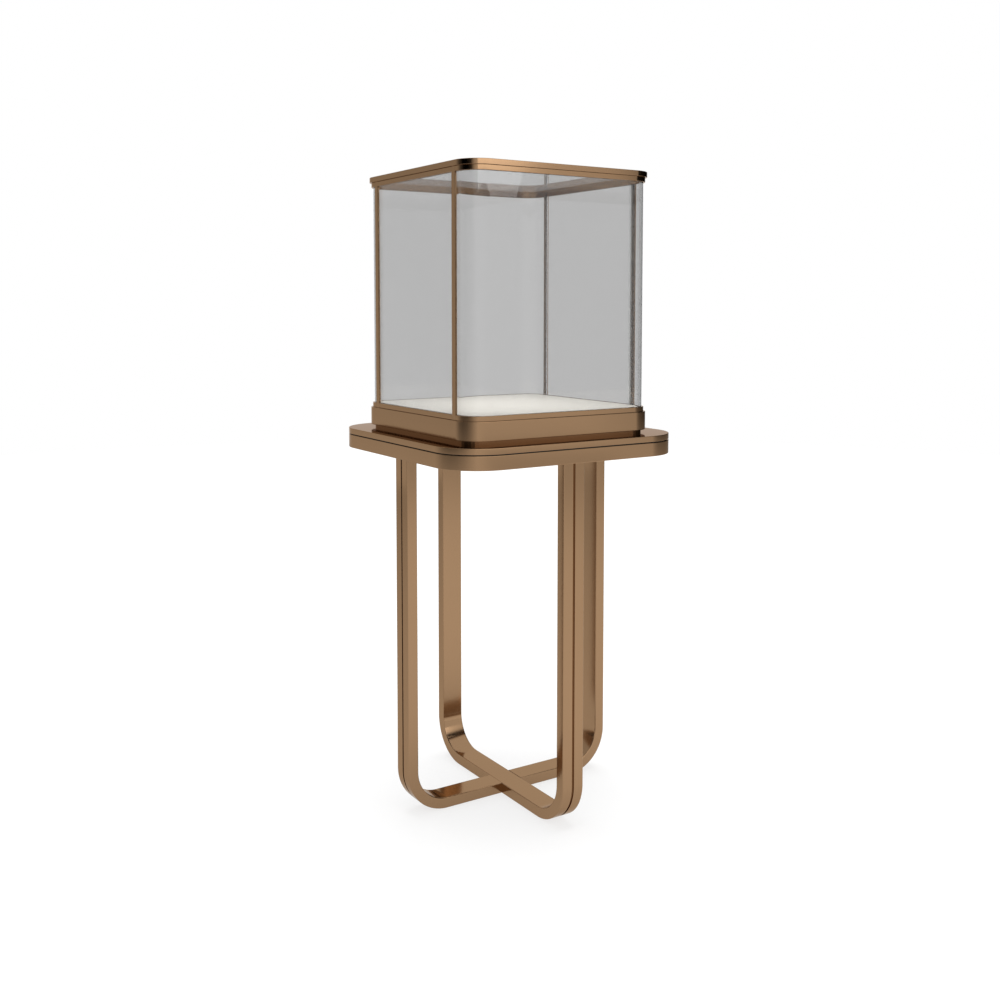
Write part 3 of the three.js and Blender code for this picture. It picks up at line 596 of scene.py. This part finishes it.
class DISPLAYCASE_OT_stage(bpy.types.Operator):
    """Sets up the camera, floor, background, lamps and the dark cards beside the camera"""

    bl_idname = "displaycase.stage"
    bl_label = "Stage"

    def execute(self, context):
        scene = context.scene
        scene.view_settings.view_transform = "Standard"
        self.camera(scene)
        self.floor(scene)
        self.background(scene)
        self.lamps(scene)
        self.cards(scene)
        return {"FINISHED"}

    def camera(self, scene):
        """The camera stands where the photograph was taken from, at a little over 1 m."""
        data = bpy.data.cameras.new("photo_camera")
        data.lens, data.sensor_width = 40.92, 36
        data.shift_y = -0.11494
        data.clip_end = 60
        camera = bpy.data.objects.new("photo_camera", data)
        heading, pitch = math.radians(32.548), math.radians(3.961)
        forward = Vector((math.sin(heading) * math.cos(pitch),
                          math.cos(heading) * math.cos(pitch), -math.sin(pitch)))
        camera.location = (-1.3223, -2.0509, 1.0580)
        camera.rotation_euler = forward.to_track_quat("-Z", "Y").to_euler()
        scene.collection.objects.link(camera)
        scene.camera = camera

    def floor(self, scene):
        reach, sides = 6.6, 96
        rim = [at for at, _ in arc(Vector(), X, Y, reach, 0, 360, sides)[:-1]]
        mesh = bpy.data.meshes.new("studio_floor")
        mesh.from_pydata(rim, [], [list(range(sides))])
        mesh.materials.append(self.floor_paint())
        ground = bpy.data.objects.new("studio_floor", mesh)
        scene.collection.objects.link(ground)

    def floor_paint(self):
        """White under the camera's eye, with the case's shadow kept: it glows less near the case,
        where the lamps reach it. In reflections it shows a painted glow of light and shade: bright
        in front of the case and dimmer behind it."""
        material, tree, output = new_material("studio_floor_white")
        front_right, behind, in_front = (0.54, -0.84, 0), -2.5, 6.5
        place = add_node(tree, "ShaderNodeNewGeometry")
        ahead = add_node(tree, "ShaderNodeVectorMath", {"operation": "DOT_PRODUCT"},
                         _0=place.outputs["Position"], _1=front_right)
        along = add_node(tree, "ShaderNodeMapRange", Value=ahead.outputs["Value"],
                         From_Min=behind, From_Max=in_front)
        # Painted light and shade, seen only in reflections: the floor's glow is bright just in
        # front of the case and dimmer behind it and far in front.
        stops = shares(behind, in_front, (
            (-2.5, 0.42), (-0.8, 0.48), (0.4, 0.76), (2.2, 0.81), (3.3, 0.78), (4.7, 0.56)))
        painted_floor_reflection = add_node(tree, "ShaderNodeValToRGB", {"stops": stops}, Fac=along.outputs[0])
        away = add_node(tree, "ShaderNodeVectorMath", {"operation": "LENGTH"},
                        _0=place.outputs["Position"])
        white = add_node(tree, "ShaderNodeMapRange", Value=away.outputs["Value"], From_Min=0.6,
                         From_Max=3.5, To_Min=0.75, To_Max=1.0)
        path = add_node(tree, "ShaderNodeLightPath")
        level = add_node(tree, "ShaderNodeMix", {"data_type": "FLOAT"},
                         _0=path.outputs["Is Glossy Ray"], _2=white.outputs[0],
                         _3=painted_floor_reflection.outputs[0])
        glow = add_node(tree, "ShaderNodeEmission", Color=(1, 1, 1), Strength=level.outputs[0])
        paint = add_node(tree, "ShaderNodeBsdfDiffuse", Color=(0.25, 0.25, 0.25))
        lit = add_node(tree, "ShaderNodeAddShader", _0=glow.outputs[0], _1=paint.outputs[0])
        plain = add_node(tree, "ShaderNodeBsdfDiffuse", Color=(0.8, 0.8, 0.8))
        mix = add_node(tree, "ShaderNodeMixShader", _0=seen_directly(tree),
                       _1=plain.outputs[0], _2=lit.outputs[0])
        tree.links.new(mix.outputs[0], output.inputs[0])
        return material

    def background(self, scene):
        """A white wall where it is seen, and a dimmer light on everything else."""
        world = bpy.data.worlds.new("studio_white")
        world.use_nodes = True
        tree = world.node_tree
        tree.nodes.clear()
        output = add_node(tree, "ShaderNodeOutputWorld")
        shown = add_node(tree, "ShaderNodeBackground", Color=(1, 1, 1), Strength=1.0)
        light = add_node(tree, "ShaderNodeBackground", Color=(1, 1, 1), Strength=0.55)
        mix = add_node(tree, "ShaderNodeMixShader", _0=seen_directly(tree),
                       _1=light.outputs[0], _2=shown.outputs[0])
        tree.links.new(mix.outputs[0], output.inputs[0])
        scene.world = world

    def lamps(self, scene):
        """A front softbox that shows in the metal, and two that only light the case."""
        aim = Vector((0, 0, 0.9))
        for name, size, height, place, power, glossy in (
                ("front_softbox", 4.32, 1.75, (-0.04, -3.2, 2.44), 33, True),
                ("overhead_softbox", 2.4, 2.4, (0.2, 0.2, 3.6), 150, False),
                ("rear_softbox", 2.4, 1.6, (-2.2, 2.6, 2.2), 16, False)):
            data = bpy.data.lights.new(name, "AREA")
            data.shape = "RECTANGLE"
            data.size, data.size_y, data.energy = size, height, power
            lamp = bpy.data.objects.new(name, data)
            lamp.location = place
            lamp.rotation_euler = (aim - lamp.location).to_track_quat("-Z", "Y").to_euler()
            lamp.visible_camera = False
            lamp.visible_glossy = glossy
            lamp.visible_transmission = glossy
            scene.collection.objects.link(lamp)

    def cards(self, scene):
        """Dark cards stand in arcs left and right of the camera, and only reflections show them.
        Their glow is painted reflection, which gives the rounded metal its dark edges."""
        material = self.painted_card_glow()
        away, bottom, top, steps = 2.6, 0.3, 3.2, 24
        for name, start, end in (("left_card", -175, -36), ("right_card", 36, 128)):
            vertices = [at + Z * level for at, _ in arc(Vector(), -Y, X, away, start, end, steps)
                        for level in (bottom, top)]
            faces = [(i - 2, i, i + 1, i - 1) for i in range(2, len(vertices), 2)]
            mesh = bpy.data.meshes.new(name)
            mesh.from_pydata(vertices, [], faces)
            mesh.materials.append(material)
            card = bpy.data.objects.new(name, mesh)
            card.visible_camera = card.visible_diffuse = card.visible_shadow = False
            scene.collection.objects.link(card)

    def painted_card_glow(self):
        """Painted reflection: black at head height, grey lower down and light at the foot. Both
        the black and the grey change with the bearing from the case, in degrees from its front."""
        material, tree, output = new_material("painted_reflection_card")
        place = add_node(tree, "ShaderNodeNewGeometry")
        split = add_node(tree, "ShaderNodeSeparateXYZ", Vector=place.outputs["Position"])
        back = add_node(tree, "ShaderNodeMath", {"operation": "MULTIPLY"}, _0=split.outputs[1],
                        _1=-1.0)
        bearing = add_node(tree, "ShaderNodeMath", {"operation": "ARCTAN2"},
                           _0=split.outputs[0], _1=back.outputs[0])
        turn = add_node(tree, "ShaderNodeMapRange", Value=bearing.outputs[0],
                        From_Min=-math.pi, From_Max=math.pi)
        # Painted reflection: the cards' glow, set bearing by bearing for the dark and light bands
        # that the metal shows.
        low_greys = shares(-180, 180, (
            (-180, 0.77), (-149, 0.75), (-131, 0.55), (-113, 0.23), (-95, 0.15), (-77, 0.22),
            (-59, 0.47), (-43, 0.82), (-36, 0.95), (36, 0.9), (39, 0.82), (48, 0.42),
            (57, 0.22), (76, 0.14), (112, 0.1), (128, 0.7)))
        high_greys = shares(-180, 180, (
            (-180, 0.64), (-149, 0.63), (-131, 0.55), (-113, 0.12), (-95, 0.0), (-74, 0.0),
            (-59, 0.05), (-45, 0.8), (-36, 1.0), (39, 1.0), (40, 0.02), (112, 0.0), (128, 0.7)))
        grey, black = (add_node(tree, "ShaderNodeValToRGB", {"stops": stops},
                                Fac=turn.outputs[0]) for stops in (low_greys, high_greys))
        height = add_node(tree, "ShaderNodeMapRange", Value=split.outputs[2], From_Min=0.55,
                          From_Max=1.5)
        body = add_node(tree, "ShaderNodeMix", {"data_type": "FLOAT"}, _0=height.outputs[0],
                        _2=grey.outputs[0], _3=black.outputs[0])
        foot = add_node(tree, "ShaderNodeMapRange", Value=split.outputs[2], From_Min=0.3,
                        From_Max=0.6, To_Min=0.72, To_Max=0.0)
        mix = add_node(tree, "ShaderNodeMix", {"data_type": "FLOAT"}, _0=foot.outputs[0],
                       _2=body.outputs[0], _3=0.95)
        # Straight through a pane, or two panes deep, a card is as white as the wall.
        path = add_node(tree, "ShaderNodeLightPath")
        deep = add_node(tree, "ShaderNodeMath", {"operation": "GREATER_THAN"},
                        _0=path.outputs["Transmission Depth"], _1=3.5)
        through = add_node(tree, "ShaderNodeMath", {"operation": "MAXIMUM"}, _0=deep.outputs[0],
                           _1=path.outputs["Is Transmission Ray"])
        shade = add_node(tree, "ShaderNodeMix", {"data_type": "FLOAT"}, _0=through.outputs[0],
                         _2=mix.outputs[0], _3=1.0)
        glow = add_node(tree, "ShaderNodeEmission", Color=(1, 1, 1), Strength=shade.outputs[0])
        tree.links.new(glow.outputs[0], output.inputs[0])
        return material


def shares(first, last, stops):
    """Stops whose places in a range are given as shares of it."""
    return [((place - first) / (last - first), grey) for place, grey in stops]


def seen_directly(tree):
    """One for rays that show the surroundings: to the camera, in reflections, through glass."""
    path = add_node(tree, "ShaderNodeLightPath")
    pair = add_node(tree, "ShaderNodeMath", {"operation": "MAXIMUM"},
                    _0=path.outputs["Is Camera Ray"], _1=path.outputs["Is Glossy Ray"])
    every = add_node(tree, "ShaderNodeMath", {"operation": "MAXIMUM"}, _0=pair.outputs[0],
                     _1=path.outputs["Is Transmission Ray"])
    return every.outputs[0]


class DISPLAYCASE_OT_frames(bpy.types.Operator):
    """Builds the crossed frames: folded tube with a groove along its outer face"""

    bl_idname = "displaycase.frames"
    bl_label = "Crossed frames"

    def execute(self, context):
        size = context.scene.case_sizes
        section, bore = self.section(size), self.bore(size)
        front = self.leg(size, -Y)
        rear = list(reversed(self.leg(size, Y)))
        dress(sweep("frame_front_rear_bar", front + rear, X, section, bore),
              ["frame_front_rear"], STAND, "frame")
        half = span("frame_front_rear").x / 2
        floor = low("frame_left").z
        for name, sign in (("frame_left", -1), ("frame_right", 1)):
            path = self.leg(size, X * sign) + [(Vector((sign * half, 0, floor)), -Z)]
            dress(sweep(name + "_bar", path, Y, section, bore), [name], STAND, "frame")
        coat("rubber", *(f"floor_pad_{end}" for end in ("front", "rear", "left", "right")))
        return {"FINISHED"}

    def leg(self, size, level):
        """Stations down one leg and round its bend, on the side that level points to."""
        reach = span("frame_front_rear").y / 2
        bottom, top = low("frame_left").z, high("frame_left").z
        bend = size.frame_bend
        centre = level * (reach - bend) + Z * (bottom + bend)
        return [(level * reach + Z * top, level.copy())] + arc(
            centre, level, -Z, bend, 0, 90, BEND_STEPS)

    def section(self, size):
        """The bar's outline, from the foot of its groove round to the other foot."""
        half, depth = span("frame_front_rear").x / 2, size.frame_depth
        groove = size.groove_width / 2
        right = [(-size.groove_depth, groove), (0, groove), (0, half), (-depth, half)]
        left = [(out, -across) for out, across in reversed(right)]
        edge, lip, foot = 2.0 * MM, 0.5 * MM, 0.3 * MM
        return eased(right + left, [foot, lip, edge, edge, edge, edge, lip, foot])

    def bore(self, size):
        """The hollow inside the sheet."""
        wall, depth = size.frame_wall, size.frame_depth
        half = span("frame_front_rear").x / 2 - wall
        groove, floor = size.groove_width / 2 + wall, size.groove_depth + wall
        right = [(-floor, groove), (-wall, groove), (-wall, half), (-depth + wall, half)]
        return right + [(out, -across) for out, across in reversed(right)]


class DISPLAYCASE_OT_table(bpy.types.Operator):
    """Builds the table: apron, core, recessed spacer and the buffed upper plate"""

    bl_idname = "displaycase.table"
    bl_label = "Table"

    def execute(self, context):
        size = context.scene.case_sizes
        half, corner, wall = span("table_apron").x / 2, size.table_corner, size.sheet
        bottom, top = low("table_apron").z, high("table_apron").z
        hem, flange, edge = 4 * MM, 22 * MM, 1.0 * MM
        section = eased([
            (0, bottom), (0, top), (-flange, top), (-flange, top - wall), (-wall, top - wall),
            (-wall, bottom + wall), (-hem, bottom + wall), (-hem, bottom),
        ], [edge, edge, 0, 0, 0, 0, 0, 0])
        dress(sweep("table_apron_band", ring(half, corner), Z, section, closed=True),
              ["table_apron"], STAND, "level")
        bottom, top = low("table_plate_skin").z, high("table_plate_skin").z
        outline = eased([
            (-wall, top - wall), (-wall, bottom), (0, bottom), (0, top), (-half, top),
        ], [0, 0, 0.6 * MM, edge, 0])
        tray = dress(lidded("table_plate_tray", half, corner, outline[:-1]),
                     ["table_plate_skin"], STAND, "level")
        tray.data.materials.append(finish_named("mirror"))
        for face in tray.data.polygons:
            face.material_index = int(face.center.z > top - 0.1 * MM)
        coat("black", "table_spacer", "table_core")
        coat("board", "table_plate_board")
        return {"FINISHED"}


class DISPLAYCASE_OT_box(bpy.types.Operator):
    """Builds the case's box with its ledge, the plinth under it and the white deck"""

    bl_idname = "displaycase.box"
    bl_label = "Box and deck"

    def execute(self, context):
        size = context.scene.case_sizes
        half, corner, wall = span("box_shell").x / 2, size.case_corner, size.sheet
        bottom, top = low("box_shell").z, high("box_shell").z
        ledge, lip, edge = 34 * MM, 14 * MM, 1.0 * MM
        section = eased([
            (0, bottom), (0, top), (-ledge, top), (-ledge, top - wall), (-wall, top - wall),
            (-wall, bottom + wall), (-lip, bottom + wall), (-lip, bottom),
        ], [edge, edge, 0, 0, 0, 0, 0, 0])
        band = sweep("box_band", ring(half, corner), Z, section, closed=True)
        dress(pierced(band, *self.openings(size, half, top)), ["box_shell"], STAND, "level")
        deck = span("deck_board").x / 2
        dress(slab("deck_panel", deck, corner - (half - deck), low("deck_board").z,
                   high("deck_board").z, 0.8 * MM),
              ["deck_board"], STAND, "white")
        coat("level", "plinth_band")
        coat("black", "plinth")
        coat("board", "box_base_board")
        return {"FINISHED"}

    def openings(self, size, half, top):
        """Cutters for the lock's barrel, for the cam's way up through the ledge and for the
        door's pin."""
        across, up = lock_axis()
        wall = size.sheet
        bore = rod(LOCK_BARREL + size.fit, (half - 3 * wall, across, up),
                   (half + wall, across, up), X)
        first, last = low("lock_cam"), high("lock_cam")
        rise = top - wall - up
        swing = math.sqrt(max((last.z - up) ** 2 + CAM_HALF ** 2 - rise ** 2, CAM_HALF ** 2))
        slot = block((first.x - size.fit, across - CAM_HALF - 2 * size.fit, top - 2 * wall),
                     (last.x + size.fit, across + swing + 2 * size.fit, top + wall))
        return bore, slot, hinge_hole(size, top - 2 * wall, top + wall)


def rail_section(size, level, height, turned_over):
    """A glazing channel. Its slot is open to the pane."""
    depth = size.rail_depth
    outer = size.fit - RAIL_FACE
    inner = outer - size.glass - 2 * size.fit
    floor = height - RAIL_SLOT
    edge = 0.5 * MM
    points = [(0, 0), (0, height), (outer, height), (outer, floor), (inner, floor),
              (inner, height), (-depth, height), (-depth, 0)]
    radii = [edge, edge, 0.2 * MM, 0, 0, 0.2 * MM, edge, 0]
    if turned_over:
        points = [(out, height - rise) for out, rise in reversed(points)]
        radii = list(reversed(radii))
    return eased([(out, level + rise) for out, rise in points], radii)


class DISPLAYCASE_OT_hood(bpy.types.Operator):
    """Builds the hood's fixed rails, the four posts and the cap frame"""

    bl_idname = "displaycase.hood"
    bl_label = "Hood metal"

    def execute(self, context):
        size = context.scene.case_sizes
        cap, corner = span("cap_frame").x / 2, size.case_corner
        hood, hood_corner = cap - size.hood_setback, corner - size.hood_setback
        for row, over in (("bottom_rail", False), ("top_rail", True)):
            level = low(row + "_left").z
            section = rail_section(size, level, span(row + "_left").z, over)
            gap = abs(high(row + "_front").y)
            for end, sign in (("front", -1), ("rear", 1)):
                dress(sweep(f"{row}_{end}_bar", half_ring(hood, hood_corner, sign, gap, gap),
                            Z, section),
                      [f"{row}_{end}"], STAND, "level")
            run = high(row + "_left").y
            dress(sweep(row + "_left_bar", straight((-hood, -run, 0), (-hood, run, 0), -X), Z,
                        section),
                  [row + "_left"], STAND, "level")
        coat("upright", "post_front_left", "post_rear_left", "post_front_right",
             "post_rear_right")
        bottom, top = low("cap_frame").z, high("cap_frame").z
        seat, rebate, depth = bottom + 4.5 * MM, 8 * MM, 18 * MM
        section = eased([
            (0, bottom), (0, top), (-rebate, top), (-rebate, seat), (-depth, seat),
            (-depth, bottom),
        ], [0.4 * MM, 1 * MM, 0.4 * MM, 0, 0.4 * MM, 0.4 * MM])
        band = sweep("cap_band", ring(cap, corner), Z, section, closed=True)
        dress(pierced(band, hinge_hole(size, bottom - MM, seat - size.fit)), ["cap_frame"],
              STAND, "level")
        return {"FINISHED"}


class DISPLAYCASE_OT_glass(bpy.types.Operator):
    """Builds the panes: front and rear bent round two corners, left, top and the door's"""

    bl_idname = "displaycase.glass"
    bl_label = "Panes"

    def execute(self, context):
        size = context.scene.case_sizes
        cap, thick, ease = span("cap_frame").x / 2, size.glass, 0.6 * MM
        face = cap - size.hood_setback - RAIL_FACE
        corner = size.case_corner - size.hood_setback - RAIL_FACE
        low_edge, high_edge = low("glass_left").z, high("glass_left").z
        section = eased([(-thick, low_edge), (0, low_edge), (0, high_edge),
                         (-thick, high_edge)], [ease] * 4)
        run = high("glass_left").y
        left, right = run + size.joint, abs(high("glass_front").y)
        for end, sign in (("front", -1), ("rear", 1)):
            dress(sweep(f"pane_{end}", half_ring(face, corner, sign, left, right), Z, section),
                  [f"glass_{end}"], STAND, "glass")
        dress(sweep("pane_left", straight((-face, -run, 0), (-face, run, 0), -X), Z, section),
              ["glass_left"], STAND, "glass")
        run = high("door_glass").y
        dress(sweep("pane_door", straight((face, -run, 0), (face, run, 0), X), Z, section),
              ["door_glass"], DOOR, "glass")
        top = span("glass_top").x / 2
        dress(slab("pane_top", top, size.case_corner - (cap - top), low("glass_top").z,
                   high("glass_top").z, ease),
              ["glass_top"], STAND, "light_glass")
        return {"FINISHED"}


class DISPLAYCASE_OT_door(bpy.types.Operator):
    """Finishes the door's two rails, its pins, washer and seal, and the lock"""

    bl_idname = "displaycase.door"
    bl_label = "Door and lock"

    def execute(self, context):
        coat("level", "door_bottom_rail", "door_top_rail")
        coat("zinc", "door_pin_bottom", "door_pin_top", "door_washer", "lock_nut",
             "lock_plug", "lock_cam", "lock_cam_screw")
        coat("vinyl", "door_seal")
        face = high("box_shell").x
        first, last = low("lock_body"), high("lock_body")
        radius, bore = (last.z - first.z) / 2, 5.8 * MM
        outline = eased([
            (bore, first.x), (LOCK_BARREL, first.x), (LOCK_BARREL, face), (radius, face),
            (radius, last.x), (bore, last.x),
        ], [0, 0, 0, 0.3 * MM, 0.5 * MM, 0.3 * MM])
        dress(turned("lock_collar", outline, (0, *lock_axis()), X), ["lock_body"], STAND,
              "level")
        return {"FINISHED"}


class DISPLAYCASE_OT_fixings(bpy.types.Operator):
    """Finishes the screws and the end plates in the legs"""

    bl_idname = "displaycase.fixings"
    bl_label = "Fixings"

    def execute(self, context):
        names = [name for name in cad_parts
                 if name.startswith(("leg_screw", "leg_plate", "case_screw"))]
        if not names:
            raise RuntimeError("the packed model has no screws")
        coat("zinc", *names)
        return {"FINISHED"}


class DISPLAYCASE_PT_panel(bpy.types.Panel):
    """Lists the display case's sizes, finishes and pieces"""

    bl_idname = "DISPLAYCASE_PT_panel"
    bl_label = "Display case"
    bl_space_type = "VIEW_3D"
    bl_region_type = "UI"
    bl_category = "Display case"

    def draw(self, context):
        for group in (context.scene.case_sizes, context.scene.case_finishes):
            for name in group.__annotations__:
                self.layout.prop(group, name)
        for operator in OPERATORS:
            self.layout.operator(operator.bl_idname)


OPERATORS = (
    DISPLAYCASE_OT_stage, DISPLAYCASE_OT_frames, DISPLAYCASE_OT_table, DISPLAYCASE_OT_box,
    DISPLAYCASE_OT_hood, DISPLAYCASE_OT_glass, DISPLAYCASE_OT_door, DISPLAYCASE_OT_fixings,
)
CLASSES = (CaseSizes, CaseFinishes, *OPERATORS, DISPLAYCASE_PT_panel)


def register():
    for each in CLASSES:
        bpy.utils.register_class(each)
    bpy.types.Scene.case_sizes = bpy.props.PointerProperty(type=CaseSizes)
    bpy.types.Scene.case_finishes = bpy.props.PointerProperty(type=CaseFinishes)


def unregister():
    del bpy.types.Scene.case_finishes
    del bpy.types.Scene.case_sizes
    for each in reversed(CLASSES):
        bpy.utils.unregister_class(each)


def main():
    register()
    bpy.ops.displaycase.stage()
    bpy.ops.displaycase.frames()
    bpy.ops.displaycase.table()
    bpy.ops.displaycase.box()
    bpy.ops.displaycase.hood()
    bpy.ops.displaycase.glass()
    bpy.ops.displaycase.door()
    bpy.ops.displaycase.fixings()


if __name__ == "__main__":
    main()
